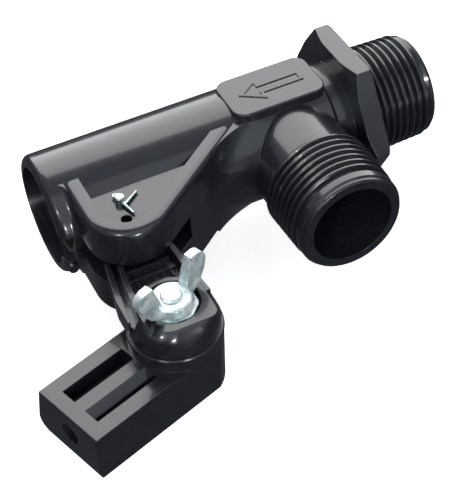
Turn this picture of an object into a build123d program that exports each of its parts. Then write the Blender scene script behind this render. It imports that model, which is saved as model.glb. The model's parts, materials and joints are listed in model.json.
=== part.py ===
from build123d import *
import math
import os

# Float valve: barrel along X, outlet branch along -Y, lever pivots about Z. Millimetres.
# Origin: barrel axis at the outer (+X) face of the hexagon.

# ---- pipe threads (R 1, 1 inch BSP taper) ----
PITCH = 25.4 / 11
DEPTH = 1.479
TAPER = 1 / 32
IN_LEN, IN_R = 21.6, 16.62
IN_FIRST, IN_TURNS = 1.9, 8
OUT_END, OUT_R = 46.4, 16.2
OUT_FIRST, OUT_TURNS = 26.4, 7

# ---- body ----
BARREL_R, BORE_R, MOUTH_X = 17.8, 14.5, -100.2
SHOULDER_X = -44.0
CHAMBER_R, CHAMBER_X = 12.4, -10.5
INLET_R, INLET_X, FLANGE_R, WALL_X = 11.0, -2.4, 9.0, -6.0
NECK_R, OUT_NECK_R = 16.0, 15.6
OUT_X, OUT_BORE_R, OUT_BORE_END, THROAT_R = -24.7, 12.4, 14.5, 9.5
HEX_R, HEX_T = 25.5, 6.2
RELIEF_R, RELIEF_DEPTH = 17.4, 0.8
SEAT_HOLE_R = 6.1
MOUTH_ROUND = 2.2

# ---- lever plates ----
PLATE_TOP, PLATE_FLOOR, GAP = 16.0, 12.0, 4.2
APEX_R = 12.2
APEX = (-82.3, -23.4)
SLANT = math.radians(37.6)
RIM, RIM_ROUND = 4.5, 2.2
GAP_END_X, PLATE_END_X = -64.8, -38.5
BLEND_R, CORNER_R = 12.0, 2.0
PIVOT = (-82.2, -18.3)
SPARE_HOLE, SPARE_R = (-83.3, -25.4), 1.6
PIN_R, PIN_FIT = 1.5, 0.05
SPLIT_PIN_Z = 12.85

# ---- badge pad and flow arrow ----
PAD_Z, PAD_X0, PAD_X1, PAD_Y0, PAD_Y1 = 18.3, -41.3, -12.0, -9.4, 8.4
ARROW_HALF_LEN, ARROW_HEAD_LEN, ARROW_HEAD_HALF, ARROW_SHAFT_HALF = 10.0, 7.0, 4.8, 2.0
ARROW_LINE, ARROW_RISE = 0.9, 0.3

# ---- lever: edges of the long arm as X at Y = -28 and X at Y = -46.5 ----
LEVER_H, WEB_H = 3.9, 0.9
NOSE_R, NOSE_Y, NOSE_H = 4.1, -0.9, 3.5
ARM_Y0, ARM_Y1 = -28.0, -46.5
LEFT_EDGE, RIGHT_EDGE = (-92.4, -95.8), (-73.5, -72.3)
CHANNEL_LEFT, CHANNEL_RIGHT, CHANNEL_END = (-91.0, -93.9), (-89.7, -92.0), -54.0
TROUGH_LEFT, TROUGH_RIGHT = (-88.4, -90.3), (-74.8, -74.3)
UNDER_LEFT, UNDER_RIGHT = (-89.1, -92.2), (-76.0, -75.5)

# ---- knuckle and clamp ----
KNUCKLE = (-82.8, -52.9)
DISC_R, LIP_R = 12.7, 13.4
JOINT_Z, KNUCKLE_Z = -4.0, -2.2
CUP_TOP, CUP_R, CUP_WALL, CUP_FLOOR = 4.6, 7.8, 1.4, -0.6
BLOCK_HALF, BLOCK_FRONT, BLOCK_BACK, BLOCK_CORNER, FRONT_CORNER = 9.5, 9.7, 7.0, 2.6, 7.0
BOLT_R, BOLT_FIT = 3.0, 0.1
BOLT_END = 7.9
NUT_BASE, HUB_TOP = 0.9, 6.9
HEAD_R, HEAD_TOP, HEAD_H = 5.77, -17.2, 4.0
WING_TURN, WING_TOP, WING_REACH = 22.5, 16.0, 12.4

# ---- float arm socket ----
ARM = math.radians(180 + 18)
BOX_TOP, BOX_BOTTOM, BOX_LEN, BOX_HALF = -8.7, -24.2, 38.3, 11.8
FAR_LEAN, FAR_ROUND = 3.2, 4.0
POST_R, POST_LOW_R = 13.1, 12.5
ROD_R, ROD_Z, ROD_END = 3.2, -15.9, 12.0
SLOT_IN, SLOT_OUT, SLOT_HALF, SLOT_FLOOR = 13.2, 33.7, 7.2, -20.0
RIB_TOP, RIB_HALF, RIB_SHOULDER = 2.1, 4.5, -11.0
ROD_SCREW_AT, ROD_SCREW_R = 25.0, 2.0

# ---- piston ----
PISTON_R = 14.42
P_TAIL, P_HEAD = -95.5, -47.0
STEM_R, STEM_END = 7.5, -17.6
SEAL_FACE = -14.9


def face_of(points):
    return make_face(Polyline(*points, close=True))


def spin(points, axis=Axis.X):
    return revolve(face_of(points), axis, 360)


def along_x(radius, x0, x1):
    return Pos((x0 + x1) / 2, 0, 0) * Rot(0, 90, 0) * Cylinder(radius, abs(x1 - x0))


def along_outlet(radius, y0, y1):
    return Pos(OUT_X, -(y0 + y1) / 2, 0) * Rot(90, 0, 0) * Cylinder(radius, y1 - y0)


def upright(radius, z0, z1, centre=(0, 0)):
    return Pos(centre[0], centre[1], (z0 + z1) / 2) * Cylinder(radius, abs(z1 - z0))


def block(x0, x1, y0, y1, z0, z1):
    size = (abs(x1 - x0), abs(y1 - y0), abs(z1 - z0))
    return Pos((x0 + x1) / 2, (y0 + y1) / 2, (z0 + z1) / 2) * Box(*size)


def prism(face, z0, z1):
    return Pos(0, 0, z0) * extrude(face, z1 - z0, dir=(0, 0, 1))


def thread_rings(first, turns, radius_at):
    """(distance, radius) points of V threads with flattened crests, starting at the first crest."""
    points = []
    for turn in range(turns):
        at = first + turn * PITCH
        root, crest = radius_at(at) - DEPTH, radius_at(at)
        points += [(at - 0.42 * PITCH, root), (at - 0.12 * PITCH, crest)]
        points += [(at + 0.12 * PITCH, crest), (at + 0.42 * PITCH, root)]
    return points


def export(node, shape):
    export_step(shape, "parts/" + node + ".step")


# ================= body moulding =================
def slant_point(x, inset=0.0):
    """Point of the plates' slanted edge at x, moved inwards by inset."""
    tangent = (APEX[0] + APEX_R * math.sin(SLANT), APEX[1] - APEX_R * math.cos(SLANT))
    y = tangent[1] + (x - tangent[0]) * math.tan(SLANT)
    return (x - inset * math.sin(SLANT), y + inset * math.cos(SLANT))


def plate_face(inset, x_far, y_top):
    """Gusset outline: straight edge across the barrel, round apex, slanted edge back to the barrel."""
    r = APEX_R - inset
    left = (APEX[0] - r, APEX[1])
    low = (APEX[0] - r * math.cos(math.radians(50)), APEX[1] - r * math.sin(math.radians(50)))
    right = (APEX[0] + r * math.sin(SLANT), APEX[1] - r * math.cos(SLANT))
    far = slant_point(x_far, inset)
    path = Line((left[0], y_top), left) + ThreePointArc(left, low, right) + Line(right, far)
    path += Line(far, (far[0], y_top)) + Line((far[0], y_top), (left[0], y_top))
    return make_face(path)


def plates_on_barrel():
    """Barrel with the full-height gusset, blended into it, and a pocket in its top and bottom faces."""
    barrel = along_x(BARREL_R, MOUTH_X, PAD_X1 + 0.5)
    barrel = fillet(barrel.edges().group_by(Axis.X)[0], MOUTH_ROUND)
    barrel = chamfer(barrel.edges().group_by(Axis.X)[-1], 1.2)
    gusset = prism(plate_face(0, PLATE_END_X, 0), -PLATE_TOP, PLATE_TOP)
    levels = gusset.edges().group_by(Axis.Z)
    rounded = fillet(levels[0] + levels[-1], RIM_ROUND)
    shape = barrel + gusset
    shape = fillet([edge for edge in shape.edges() if blend_edge(edge)], BLEND_R)
    shape = fillet([edge for edge in shape.edges() if corner_edge(edge)], CORNER_R)
    shape -= (gusset - rounded) - along_x(BARREL_R, MOUTH_X, 0)
    pocket = prism(plate_face(RIM, -45.5, -1), PLATE_FLOOR, PLATE_TOP + 1)
    pocket -= along_x(BARREL_R, MOUTH_X, 0)
    return shape - pocket - mirror(pocket, Plane.XY)


def blend_edge(edge):
    """The curve where the slanted side meets the barrel."""
    middle = edge.position_at(0.5)
    return abs(middle.Z) < 1 and -57 < middle.X < -50 and middle.Y < -15


def corner_edge(edge):
    """The curve where the plates' upright side meets the barrel."""
    middle = edge.position_at(0.5)
    return abs(middle.X - APEX[0] + APEX_R) < 0.2 and abs(math.hypot(middle.Y, middle.Z) - BARREL_R) < 0.2


def hexagon():
    hexa = extrude(Plane.YZ.offset(-HEX_T) * RegularPolygon(HEX_R, 6), HEX_T)
    back = [(-HEX_T, 0), (-HEX_T, HEX_R - 2.9), (-HEX_T + 1.7, HEX_R + 0.1)]
    front = [(-0.5, HEX_R + 0.1), (0, HEX_R - 0.9), (0, RELIEF_R)]
    front += [(-RELIEF_DEPTH, RELIEF_R), (-RELIEF_DEPTH, 0)]
    return hexa & spin(back + front)


def inlet_spigot():
    radius = lambda s: IN_R - s * TAPER
    points = [(-1, 0), (-1, radius(0) - DEPTH)]
    points += thread_rings(IN_FIRST, IN_TURNS, radius)
    points += [(IN_LEN - 1.2, radius(IN_LEN) - 0.5), (IN_LEN, radius(IN_LEN) - 1.5), (IN_LEN, 0)]
    return spin(points)


def outlet_spigot():
    radius = lambda s: OUT_R + (OUT_END - s) * TAPER
    points = [(0, 0), (0, OUT_NECK_R), (OUT_FIRST - 1.6, OUT_NECK_R)]
    points += thread_rings(OUT_FIRST, OUT_TURNS, radius)
    points += [(OUT_END - 3.6, OUT_R - 0.15), (OUT_END - 1.6, OUT_R - 0.2), (OUT_END - 1.1, OUT_R - 0.8)]
    points += [(OUT_END - 0.5, OUT_R - 0.8), (OUT_END, OUT_R - 1.3)]
    points += [(OUT_END, 0)]
    return Pos(OUT_X, 0, 0) * Rot(0, 0, -90) * spin(points)


def pad():
    outline = Rectangle(PAD_X1 - PAD_X0, PAD_Y1 - PAD_Y0)
    outline = fillet(outline.vertices(), 4.0)
    centre = Pos((PAD_X0 + PAD_X1) / 2, (PAD_Y0 + PAD_Y1) / 2, 10)
    top = extrude(centre * outline, PAD_Z - 10, dir=(0, 0, 1))
    return fillet(top.edges().group_by(Axis.Z)[-1], 0.6)


def arrow_outline(inset):
    """Arrow pointing along -X from the middle of the pad, moved inwards by inset."""
    cx, cy = (PAD_X0 + PAD_X1) / 2, (PAD_Y0 + PAD_Y1) / 2
    slope = ARROW_HEAD_HALF / ARROW_HEAD_LEN
    tip = -ARROW_HALF_LEN + inset * math.hypot(1, slope) / slope
    back = ARROW_HEAD_LEN - ARROW_HALF_LEN - inset
    barb, shaft, tail = (back - tip) * slope, ARROW_SHAFT_HALF - inset, ARROW_HALF_LEN - inset
    upper = [(tip, 0), (back, barb), (back, shaft), (tail, shaft)]
    lower = [(tail, -shaft), (back, -shaft), (back, -barb)]
    return face_of([(cx + x, cy + y) for x, y in upper + lower])


def flow_arrow():
    """Plain outlined arrow raised on the pad, pointing from the inlet towards the open end."""
    return prism(arrow_outline(0) - arrow_outline(ARROW_LINE), PAD_Z - 0.2, PAD_Z + ARROW_RISE)


def build_body():
    body = plates_on_barrel()
    body += along_x(NECK_R, -14, -1)
    body += hexagon() + inlet_spigot() + outlet_spigot()
    body += pad() + flow_arrow()
    # lug beside the open end
    body += Pos(-98.4, -16.9, -6.2) * Rot(90, 0, 0) * Cylinder(1.5, 3.4)
    # bores
    body -= along_x(BORE_R, MOUTH_X - 1, SHOULDER_X)
    body -= along_x(CHAMBER_R, SHOULDER_X - 1, CHAMBER_X)
    body -= along_x(SEAT_HOLE_R, CHAMBER_X - 1, WALL_X + 1)
    body -= along_x(FLANGE_R + 0.03, WALL_X, INLET_X + 1)
    body -= along_x(INLET_R, INLET_X, IN_LEN + 1)
    body -= along_outlet(OUT_BORE_R, OUT_BORE_END, OUT_END + 1)
    body -= along_outlet(THROAT_R, 0, OUT_BORE_END + 1)
    # lever slot through the barrel wall and between the plates
    body -= block(MOUTH_X - 1, GAP_END_X, -40, -3, -GAP, GAP)
    # pivot holes and the spare pair
    body -= upright(PIN_R + PIN_FIT, -20, 20, PIVOT)
    body -= upright(SPARE_R, -20, 20, SPARE_HOLE)
    return body


# ================= internal pieces =================
def build_seat_nozzle():
    points = [(-13.0, 3.4), (-13.0, 4.3), (-11.2, 5.2), (-10.5, 5.2), (-10.5, SEAT_HOLE_R - 0.03)]
    points += [(-5.0, SEAT_HOLE_R - 0.03), (-5.0, FLANGE_R), (INLET_X, FLANGE_R)]
    points += [(INLET_X, 5.4), (-5.5, 3.4)]
    return spin(points)


def build_seat_gasket():
    return along_x(FLANGE_R - 0.1, WALL_X, -5.0) - along_x(SEAT_HOLE_R + 0.1, WALL_X - 1, 0)


def build_piston():
    groove_in, groove_w = 12.1, 2.5
    points = [(P_TAIL, 0), (P_TAIL, PISTON_R - 0.8), (P_TAIL + 0.8, PISTON_R)]
    for x in (-55.6, -50.4):
        points += [(x - groove_w / 2, PISTON_R), (x - groove_w / 2, groove_in)]
        points += [(x + groove_w / 2, groove_in), (x + groove_w / 2, PISTON_R)]
    points += [(P_HEAD - 0.8, PISTON_R), (P_HEAD, PISTON_R - 0.8), (P_HEAD, STEM_R + 1)]
    points += [(P_HEAD + 1, STEM_R), (-19.6, STEM_R), (-19.6, 9.2), (-15.4, 9.2), (-15.4, 8.0)]
    points += [(STEM_END, 8.0), (STEM_END, 0)]
    piston = spin(points)
    # pocket for the lever nose, widening outwards
    x = PIVOT[0]
    piston -= block(x - NOSE_R - 0.15, x + NOSE_R + 0.15, -16, 5.4, -NOSE_H - 0.5, NOSE_H + 0.5)
    piston -= prism(face_of([(x - 9.4, -16), (x - 7.0, -8.5), (x - 4.0, -5.2), (x + 4.0, -5.2), (x + 7.0, -8.5),
                             (x + 9.4, -16)]), -NOSE_H - 0.5, NOSE_H + 0.5)
    # hollow tail with a cross rib
    hollow = along_x(PISTON_R - 2.4, P_TAIL - 1, -91.0)
    piston -= hollow - block(P_TAIL, -90, -20, 20, -1.1, 1.1)
    # threaded seat for the seal screw, drawn at its major size
    piston -= along_x(2.05, STEM_END - 9, STEM_END + 1)
    return piston


def build_o_rings(positions, middle_r, section_r):
    rings = [Pos(x, 0, 0) * Rot(0, 90, 0) * Torus(middle_r, section_r) for x in positions]
    return rings[0] + rings[1:]


def build_seal_washer():
    return along_x(7.95, STEM_END, SEAL_FACE) - along_x(2.1, STEM_END - 1, 0)


def build_seal_screw():
    points = [(SEAL_FACE, 0), (SEAL_FACE, 2.9), (SEAL_FACE + 0.5, 2.9)]
    points += [(SEAL_FACE + 1.1, 2.0), (SEAL_FACE + 1.3, 0)]
    head = spin(points)
    shank = along_x(2.0, STEM_END - 8, SEAL_FACE)
    return head + shank - block(SEAL_FACE + 0.6, SEAL_FACE + 2, -4, 4, -0.35, 0.35)


# ================= lever =================
def edge_x(edge, y):
    """X of a long-arm edge at y."""
    return edge[0] + (edge[1] - edge[0]) * (y - ARM_Y0) / (ARM_Y1 - ARM_Y0)


def strip(left, right, y0, y1):
    """Face between two long-arm edges, from y0 to y1."""
    down = [(edge_x(left, y0), y0), (edge_x(left, y1), y1)]
    up = [(edge_x(right, y1), y1), (edge_x(right, y0), y0)]
    return face_of(down + up)


def knuckle_block():
    """Round at the joint, bulging, then squared at the rim of the nut recess with one rounder front corner."""
    kx, ky = KNUCKLE
    depth, shift = BLOCK_FRONT + BLOCK_BACK, (BLOCK_BACK - BLOCK_FRONT) / 2
    middle = Rectangle(2 * BLOCK_HALF + 4.0, depth + 5.0)
    top = Rectangle(2 * BLOCK_HALF, depth)
    top = fillet(top.vertices().sort_by(lambda corner: corner.X + corner.Y)[1:], BLOCK_CORNER)
    top = fillet(top.vertices().sort_by(lambda corner: corner.X + corner.Y)[0], FRONT_CORNER)
    sections = [
        Pos(kx, ky, KNUCKLE_Z) * Circle(DISC_R),
        Pos(kx, ky + shift / 2, 1.4) * fillet(middle.vertices(), 8.0),
        Pos(kx, ky + shift, CUP_TOP) * top,
    ]
    return loft(sections)


def build_short_arm():
    """From the pivot up to the rounded nose that moves the piston."""
    px, py = PIVOT
    waist = py + 12.0
    right = [(px + 2.5, NOSE_Y), (px + 2.5, waist), (px + 4.4, py + 3.2), (px + 4.6, py - 2)]
    left = [(2 * px - x, y) for x, y in reversed(right)]
    arm = prism(face_of(left + right), -NOSE_H, NOSE_H)
    return arm + upright(NOSE_R, -NOSE_H, NOSE_H, (px, NOSE_Y))


def build_lever():
    kx, ky = KNUCKLE
    px, py = PIVOT
    lever = build_short_arm() + upright(5.6, -LEVER_H, LEVER_H, PIVOT)
    # long arm, widening from the pivot to the knuckle
    left = [(px - 5.2, py + 2), (px - 7.4, py - 5), (LEFT_EDGE[0], ARM_Y0), (edge_x(LEFT_EDGE, -44), -44)]
    right = [(edge_x(RIGHT_EDGE, -44), -44), (edge_x(RIGHT_EDGE, -33), -33)]
    right += [(px + 7.4, py - 5), (px + 5.2, py + 2)]
    lever += prism(face_of(left + [(kx - DISC_R, ky), (kx + 11.2, ky)] + right), -LEVER_H, LEVER_H)
    lever += upright(DISC_R, JOINT_Z + 0.1, KNUCKLE_Z, KNUCKLE)
    lever += knuckle_block()
    # deep trough between the rails and a narrow channel in the left rail; below, a plain pocket
    cup = upright(CUP_R + CUP_WALL, JOINT_Z + 0.1, CUP_TOP, KNUCKLE)
    lever -= prism(strip(TROUGH_LEFT, TROUGH_RIGHT, -27, -50), WEB_H, CUP_TOP + 1) - cup
    lever -= prism(strip(CHANNEL_LEFT, CHANNEL_RIGHT, ARM_Y0, CHANNEL_END), WEB_H, CUP_TOP + 1) - cup
    under = strip(UNDER_LEFT, UNDER_RIGHT, -27.5, -41.5)
    lever -= prism(under, -9, -WEB_H)
    # the outer wall of the channel is lower than the rails
    lever -= prism(strip(LEFT_EDGE, CHANNEL_RIGHT, ARM_Y0, CHANNEL_END), 3.0, CUP_TOP + 1) - cup
    # lattice of low ribs on both faces of the web
    inside = prism(under, -2.2, 2.2)
    for y in (-31.0, -34.8, -38.6):
        lever += block(LEFT_EDGE[1], RIGHT_EDGE[1], y - 0.5, y + 0.5, -2.2, 2.2) & inside
    for step in range(5):
        x = TROUGH_LEFT[0] + 1.2 + step * 2.5
        lever += block(x - 0.35, x + 0.35, -43, -27, -1.7, 1.7) & inside
    lever += cup
    lever -= upright(CUP_R, CUP_FLOOR, CUP_TOP + 1, KNUCKLE)
    # drain notch through the wall of the recess
    notch = Rot(0, 0, -138) * Pos(CUP_R + 1, 0, CUP_TOP) * Box(6, 2.8, 3.0)
    lever -= Pos(kx, ky, 0) * notch
    lever -= upright(PIN_R + PIN_FIT, -9, 9, PIVOT)
    lever -= upright(SPARE_R, -9, 9, SPARE_HOLE)
    lever -= upright(BOLT_R + BOLT_FIT, -9, 9, KNUCKLE)
    return lever


def build_lever_pin():
    px, py = PIVOT
    top, head = 14.3, -13.4
    shank = upright(PIN_R, head, top, PIVOT)
    shank = fillet(shank.edges().group_by(Axis.Z)[-1], 0.6)
    cap = upright(2.7, head, head + 1.2, PIVOT)
    hole = Pos(px, py, SPLIT_PIN_Z) * Rot(0, 0, -75) * Rot(0, 90, 0) * Cylinder(0.65, 8)
    return shank + fillet(cap.edges().group_by(Axis.Z)[0], 0.4) - hole


def build_split_pin():
    """Eye behind the pin, shank through its cross hole, two splayed legs."""
    eye = Pos(-2.2, 0, 0) * Torus(0.6, 0.33)
    shank = Pos(-0.05, 0, 0) * Rot(0, 90, 0) * Cylinder(0.55, 4.0)
    legs = eye + shank
    for tip, bend in (((6.6, -0.3), (2.2, -0.25)), ((0.2, 5.6), (2.3, 0.25))):
        path = Line(Vector(1.4, bend[1], 0), Vector(*bend, 0)) + Line(Vector(*bend, 0), Vector(*tip, -0.3))
        profile = Plane(path @ 0, z_dir=path % 0) * Circle(0.42)
        legs += sweep(profile, path, transition=Transition.ROUND)
    return Pos(PIVOT[0], PIVOT[1], SPLIT_PIN_Z) * Rot(0, 0, -75) * legs


# ================= clamp =================
def build_clamp_bolt():
    kx, ky = KNUCKLE
    hexagon_head = extrude(RegularPolygon(HEAD_R, 6), HEAD_H, dir=(0, 0, 1))
    head = Pos(kx, ky, HEAD_TOP - HEAD_H) * Rot(0, 0, 18) * hexagon_head
    shank = upright(BOLT_R, -18, BOLT_END, KNUCKLE)
    shank = chamfer(shank.edges().group_by(Axis.Z)[-1], 0.5)
    return head + shank


def build_washer():
    return upright(5.9, CUP_FLOOR, NUT_BASE - 0.05, KNUCKLE) - upright(BOLT_R + 0.2, -5, 5, KNUCKLE)


def wing_profile():
    """One ear in the plane of the axis: (distance from the axis, height)."""
    outer = Polyline((4.0, 2.6), (5.2, 3.6), (9.2, 6.2), (11.6, 9.8), (WING_REACH, 12.2))
    tip = ThreePointArc((WING_REACH, 12.2), (11.7, 14.9), (9.7, WING_TOP))
    inner = Polyline((9.7, WING_TOP), (7.2, WING_TOP), (5.6, 11.0), (4.4, HUB_TOP), (4.0, 2.6))
    return make_face(outer + tip + inner)


def build_wing_nut():
    skirt = Pos(0, 0, NUT_BASE) * extrude(RegularPolygon(7.2, 8), 3.0, dir=(0, 0, 1))
    skirt &= upright(6.95, 0, 9)
    points = [(0, NUT_BASE), (6.0, NUT_BASE), (6.2, 4.4), (5.6, HUB_TOP - 0.5), (5.1, HUB_TOP), (0, HUB_TOP)]
    boss = spin(points, Axis.Y)
    nut = skirt + Rot(90, 0, 0) * boss
    taper = face_of([(-1.9, 2.0), (1.9, 2.0), (1.2, WING_TOP + 0.5), (-1.2, WING_TOP + 0.5)])
    thickness = Pos(-1, 0, 0) * extrude(Plane.YZ * taper, 16, dir=(1, 0, 0))
    wing = thickness & extrude(Plane.XZ * wing_profile(), 3, both=True)
    nut += wing + Rot(0, 0, 180) * wing
    nut -= upright(BOLT_R + 0.05, -5, 30)
    return Pos(KNUCKLE[0], KNUCKLE[1], 0) * Rot(0, 0, WING_TURN) * nut


# ================= float arm socket =================
def rod_box():
    """Flat near side; far side leaning out to a rounded bottom edge."""
    near, far = BOX_HALF, -BOX_HALF
    section = Polygon((near, BOX_TOP), (near, BOX_BOTTOM), (far - FAR_LEAN, BOX_BOTTOM), (far, BOX_TOP), align=None)
    section = fillet(section.vertices().sort_by(Axis.X)[0], FAR_ROUND)
    box = extrude(Plane.YZ * section, BOX_LEN, dir=(1, 0, 0))
    return fillet(box.edges().group_by(Axis.X)[-1], 0.5)


def rod_rib():
    """Rib between the two slots, wider below its top, where it holds the rod bore."""
    right = [(RIB_TOP, BOX_TOP + 1), (RIB_TOP, BOX_TOP), (RIB_HALF, RIB_SHOULDER), (RIB_HALF, SLOT_FLOOR)]
    left = [(-n, z) for n, z in reversed(right)]
    section = Polygon(*right, *left, align=None)
    return extrude(Plane.YZ.offset(SLOT_IN) * section, SLOT_OUT - SLOT_IN, dir=(1, 0, 0))


def socket_post():
    """Slightly tapered post under the joint, flush with the near side of the box."""
    profile = [(0, BOX_BOTTOM), (POST_LOW_R, BOX_BOTTOM), (POST_R, BOX_TOP), (POST_R, JOINT_Z), (0, JOINT_Z)]
    post = Rot(90, 0, 0) * spin(profile, Axis.Y)
    post -= block(-POST_R, POST_R, BOX_HALF, 2 * POST_R, BOX_BOTTOM - 1, BOX_TOP)
    lip = upright(LIP_R, JOINT_Z - 1.6, JOINT_Z)
    return post + fillet(lip.edges(), 0.7)


def build_socket():
    socket = rod_box() + socket_post()
    socket -= block(SLOT_IN, SLOT_OUT, -SLOT_HALF, SLOT_HALF, SLOT_FLOOR, BOX_TOP + 1) - rod_rib()
    socket -= Pos((ROD_END + BOX_LEN + 1) / 2, 0, ROD_Z) * Rot(0, 90, 0) * Cylinder(ROD_R, BOX_LEN + 1 - ROD_END)
    # set screw hole up to the rod, at its thread's major size
    socket -= upright(ROD_SCREW_R + 0.03, BOX_BOTTOM - 1, ROD_Z, (ROD_SCREW_AT, 0))
    socket -= upright(BOLT_R + BOLT_FIT, BOX_BOTTOM - 1, 0)
    head_pocket = extrude(RegularPolygon(HEAD_R + 0.33, 6), HEAD_TOP - BOX_BOTTOM + 1, dir=(0, 0, 1))
    socket -= Pos(0, 0, BOX_BOTTOM - 1) * head_pocket
    return Pos(KNUCKLE[0], KNUCKLE[1], 0) * Rot(0, 0, math.degrees(ARM)) * socket


def build_rod_screw():
    z0, z1 = BOX_BOTTOM + 0.3, ROD_Z - ROD_R
    screw = upright(ROD_SCREW_R, z0, z1, (ROD_SCREW_AT, 0))
    screw -= Pos(ROD_SCREW_AT, 0, z0 - 1) * extrude(RegularPolygon(1.15, 6), 2.4, dir=(0, 0, 1))
    return Pos(KNUCKLE[0], KNUCKLE[1], 0) * Rot(0, 0, math.degrees(ARM)) * screw


os.makedirs("parts", exist_ok=True)
export("body", build_body())
export("seat_nozzle", build_seat_nozzle())
export("seat_gasket", build_seat_gasket())
export("piston", build_piston())
export("piston_o_rings", build_o_rings((-55.6, -50.4), 13.28, 1.16))
export("seal_washer", build_seal_washer())
export("seal_screw", build_seal_screw())
export("lever", build_lever())
export("lever_pin", build_lever_pin())
export("split_pin", build_split_pin())
export("clamp_bolt", build_clamp_bolt())
export("nut_washer", build_washer())
export("wing_nut", build_wing_nut())
export("socket", build_socket())
export("rod_screw", build_rod_screw())
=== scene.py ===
import json
import math

import bpy
from mathutils import Matrix, Vector


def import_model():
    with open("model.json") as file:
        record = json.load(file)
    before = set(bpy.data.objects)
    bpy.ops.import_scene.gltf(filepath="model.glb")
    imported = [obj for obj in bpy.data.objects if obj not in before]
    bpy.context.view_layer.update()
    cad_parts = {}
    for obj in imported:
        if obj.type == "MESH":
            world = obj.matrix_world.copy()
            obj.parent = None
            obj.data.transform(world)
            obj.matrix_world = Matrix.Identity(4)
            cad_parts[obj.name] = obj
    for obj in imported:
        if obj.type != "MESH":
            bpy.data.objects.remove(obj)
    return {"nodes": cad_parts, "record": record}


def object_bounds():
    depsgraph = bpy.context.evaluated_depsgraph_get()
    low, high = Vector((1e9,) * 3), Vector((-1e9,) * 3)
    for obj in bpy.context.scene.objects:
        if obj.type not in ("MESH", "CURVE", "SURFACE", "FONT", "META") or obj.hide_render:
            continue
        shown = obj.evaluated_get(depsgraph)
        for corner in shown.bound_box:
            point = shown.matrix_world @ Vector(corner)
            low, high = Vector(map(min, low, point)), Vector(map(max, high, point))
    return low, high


# Looks of the float valve. Metres, in the CAD frame: barrel along X, outlet along -Y, pivot along Z.

MM = 0.001

# camera: place, axes and focal length
CAMERA_AT = Vector((-0.16836, -0.29870, 0.28192))
CAMERA_RIGHT = Vector((0.898541, -0.435429, -0.055003))
CAMERA_UP = Vector((0.343726, 0.620237, 0.705094))
CAMERA_LENS = 103.95


# ---------------------------------------------------------------- node helpers
class Nodes:
    """Short calls for building one material's node tree."""

    def __init__(self, name):
        self.material = bpy.data.materials.new(name)
        self.material.use_nodes = True
        self.tree = self.material.node_tree
        self.shader = self.tree.nodes["Principled BSDF"]

    def add(self, kind, **sockets):
        node = self.tree.nodes.new(kind)
        for key, value in sockets.items():
            node.inputs[key.replace("_", " ")].default_value = value
        return node

    def link(self, source, target):
        self.tree.links.new(source, target)

    def position(self):
        """Object coordinates, which ride with the piece."""
        return self.add("ShaderNodeTexCoord").outputs["Object"]

    def noise(self, scale, detail=4.0, roughness=0.55, stretch=None):
        source = self.position()
        if stretch:
            mapping = self.add("ShaderNodeMapping", Scale=stretch)
            self.link(source, mapping.inputs["Vector"])
            source = mapping.outputs["Vector"]
        noise = self.add("ShaderNodeTexNoise", Scale=scale, Detail=detail, Roughness=roughness)
        self.link(source, noise.inputs["Vector"])
        return noise.outputs["Fac"]

    def ramp(self, fac, stops):
        """stops are (position, colour or grey)."""
        node = self.add("ShaderNodeValToRGB")
        self.link(fac, node.inputs["Fac"])
        elements = node.color_ramp.elements
        while len(elements) < len(stops):
            elements.new(0.5)
        for element, (at, value) in zip(elements, stops):
            element.position = at
            rgb = (value,) * 3 if isinstance(value, float) else value
            element.color = (*rgb, 1.0)
        return node.outputs["Color"]

    def bump(self, height, strength, distance, normal=None):
        node = self.add("ShaderNodeBump", Strength=strength, Distance=distance)
        self.link(height, node.inputs["Height"])
        if normal:
            self.link(normal, node.inputs["Normal"])
        return node.outputs["Normal"]

    def soft_edges(self, radius):
        node = self.add("ShaderNodeBevel", Radius=radius)
        node.samples = 6
        return node.outputs["Normal"]

    def set(self, **sockets):
        for key, value in sockets.items():
            self.shader.inputs[key.replace("_", " ")].default_value = value


def moulded_plastic(name, dark, light, roughness, coat, edge=0.35 * MM):
    """Black moulding: mottled colour, faint flow marks, fine mould grain and a glossy skin."""
    m = Nodes(name)
    colour = m.ramp(m.noise(160, 5), [(0.3, dark), (0.7, light)])
    m.link(colour, m.shader.inputs["Base Color"])
    gloss = m.ramp(m.noise(420, 6, 0.6), [(0.25, roughness[0]), (0.75, roughness[1])])
    m.link(gloss, m.shader.inputs["Roughness"])
    normal = m.soft_edges(edge)
    normal = m.bump(m.noise(70, 2), 0.10, 0.25 * MM, normal)
    normal = m.bump(m.noise(1500, 2, 0.5), 0.10, 0.03 * MM, normal)
    m.link(normal, m.shader.inputs["Normal"])
    m.set(IOR=1.5, Coat_Weight=coat, Coat_Roughness=0.05)
    return m.material


def plated_metal(name, dull, bright, roughness, grain, metallic=1.0, edge=0.15 * MM):
    """Metal with a cloudy plating, fine scratches and small dents."""
    m = Nodes(name)
    clouds = m.noise(260, 5, 0.65)
    m.link(m.ramp(clouds, [(0.36, dull), (0.62, bright)]), m.shader.inputs["Base Color"])
    gloss = m.ramp(m.noise(500, 5), [(0.3, roughness[0]), (0.7, roughness[1])])
    m.link(gloss, m.shader.inputs["Roughness"])
    normal = m.bump(m.noise(180, 3), 0.35, 0.15 * MM, m.soft_edges(edge))
    normal = m.bump(m.noise(grain, 3, 0.5), 0.2, 0.04 * MM, normal)
    m.link(normal, m.shader.inputs["Normal"])
    m.set(Metallic=metallic)
    return m.material


def rubber(name):
    m = Nodes(name)
    colour = m.ramp(m.noise(500, 4), [(0.3, (0.012, 0.012, 0.013)), (0.7, (0.03, 0.03, 0.032))])
    m.link(colour, m.shader.inputs["Base Color"])
    m.link(m.ramp(m.noise(900, 4), [(0.3, 0.6), (0.7, 0.8)]), m.shader.inputs["Roughness"])
    m.link(m.bump(m.noise(3000, 2), 0.3, 0.03 * MM), m.shader.inputs["Normal"])
    return m.material


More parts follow.
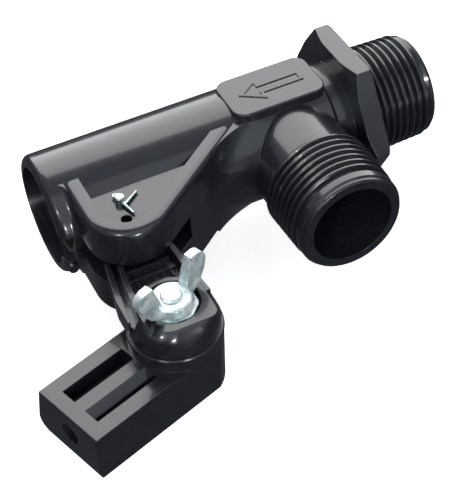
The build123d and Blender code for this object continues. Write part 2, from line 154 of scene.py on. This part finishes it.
def make_materials():
    return {
        "body_plastic": moulded_plastic(
            "body_plastic", (0.0095, 0.0105, 0.0135), (0.0150, 0.0165, 0.0205), (0.19, 0.28), 0.4
        ),
        "piston_plastic": moulded_plastic(
            "piston_plastic", (0.014, 0.014, 0.016), (0.024, 0.024, 0.026), (0.3, 0.45), 0.0
        ),
        "zinc": plated_metal("zinc", (0.36, 0.48, 0.48), (0.94, 1.0, 1.0), (0.24, 0.40), 1800, 0.5),
        "stainless": plated_metal("stainless", (0.26, 0.33, 0.32), (0.56, 0.64, 0.63), (0.26, 0.40), 2400),
        "brass": plated_metal("brass", (0.72, 0.52, 0.22), (0.84, 0.64, 0.30), (0.22, 0.35), 1500),
        "rubber": rubber("rubber"),
    }


def dress(frame, materials):
    """Gives every CAD node the material of its slot in the record."""
    for part in frame["record"]["subparts"]:
        mesh = frame["nodes"][part["node"]].data
        mesh.materials.clear()
        mesh.materials.append(materials[part["material_slot"]])


# ---------------------------------------------------------------- studio
def aim(obj, place, target):
    place, target = Vector(place), Vector(target)
    obj.location = place
    obj.rotation_euler = (target - place).to_track_quat("-Z", "Y").to_euler()


def make_floor(z):
    """Pale table, slightly lit from within and kept out of the reflections, as under a cut-out photograph."""
    half = 6.0
    corners = [(-half, -half, z), (half, -half, z), (half, half, z), (-half, half, z)]
    mesh = bpy.data.meshes.new("floor")
    mesh.from_pydata(corners, [], [(0, 1, 2, 3)])
    floor = bpy.data.objects.new("floor", mesh)
    bpy.context.scene.collection.objects.link(floor)
    floor.visible_glossy = False
    floor.visible_diffuse = False
    m = Nodes("floor_white")
    m.link(m.ramp(m.noise(30, 3), [(0.3, 0.86), (0.7, 0.9)]), m.shader.inputs["Base Color"])
    m.set(Roughness=0.8, Emission_Color=(1, 1, 1, 1), Emission_Strength=0.7)
    mesh.materials.append(m.material)


def area_light(name, place, target, size, radiance, colour=(1, 1, 1)):
    """Rectangular lamp; its power follows from the brightness of its face."""
    data = bpy.data.lights.new(name, "AREA")
    data.shape = "RECTANGLE"
    data.size, data.size_y = size
    data.energy, data.color = radiance * math.pi * size[0] * size[1], colour
    light = bpy.data.objects.new(name, data)
    bpy.context.scene.collection.objects.link(light)
    aim(light, place, target)
    return light


def polar(centre, azimuth, elevation, distance):
    a, e = math.radians(azimuth), math.radians(elevation)
    return centre + distance * Vector((math.cos(e) * math.cos(a), math.cos(e) * math.sin(a), math.sin(e)))


def make_lights(centre):
    """Large softbox behind, dim wall in front, two small lamps beside the camera."""
    area_light("back_softbox", polar(centre, 62, 38, 1.2), centre, (2.6, 1.5), 3.2)
    area_light("front_wall", polar(centre, -100, 44, 2.0), centre, (3.6, 1.9), 0.6, (0.88, 0.94, 1.0))
    area_light("lamp_left", polar(centre, -135, 30, 1.2), centre, (0.14, 0.10), 60)
    area_light("lamp_right", polar(centre, -92, 6, 1.0), centre, (0.16, 0.09), 75)


def make_world():
    """Dim room, darker below the table's edge."""
    world = bpy.data.worlds.new("studio")
    world.use_nodes = True
    tree = world.node_tree
    direction = tree.nodes.new("ShaderNodeTexCoord")
    height = tree.nodes.new("ShaderNodeSeparateXYZ")
    ramp = tree.nodes.new("ShaderNodeValToRGB")
    tree.links.new(direction.outputs["Generated"], height.inputs["Vector"])
    tree.links.new(height.outputs["Z"], ramp.inputs["Fac"])
    low, high = ramp.color_ramp.elements
    low.position, low.color = 0.0, (0.065, 0.07, 0.08, 1)
    high.position, high.color = 0.25, (0.36, 0.39, 0.43, 1)
    tree.links.new(ramp.outputs["Color"], tree.nodes["Background"].inputs["Color"])
    bpy.context.scene.world = world


def make_camera():
    """At the photograph's angle: above and to the left of the barrel's open end."""
    data = bpy.data.cameras.new("camera")
    data.lens = CAMERA_LENS
    camera = bpy.data.objects.new("camera", data)
    bpy.context.scene.collection.objects.link(camera)
    axes = Matrix((CAMERA_RIGHT, CAMERA_UP, CAMERA_RIGHT.cross(CAMERA_UP))).transposed()
    camera.matrix_world = Matrix.Translation(CAMERA_AT) @ axes.to_4x4()
    bpy.context.scene.camera = camera


def main():
    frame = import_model()
    cad_box = [list(corner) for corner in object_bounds()]
    centre = (Vector(cad_box[0]) + Vector(cad_box[1])) / 2
    dress(frame, make_materials())
    make_floor(cad_box[0][2] - 0.1 * MM)
    make_lights(centre)
    make_world()
    make_camera()
    bpy.context.scene.view_settings.view_transform = "Standard"


main()
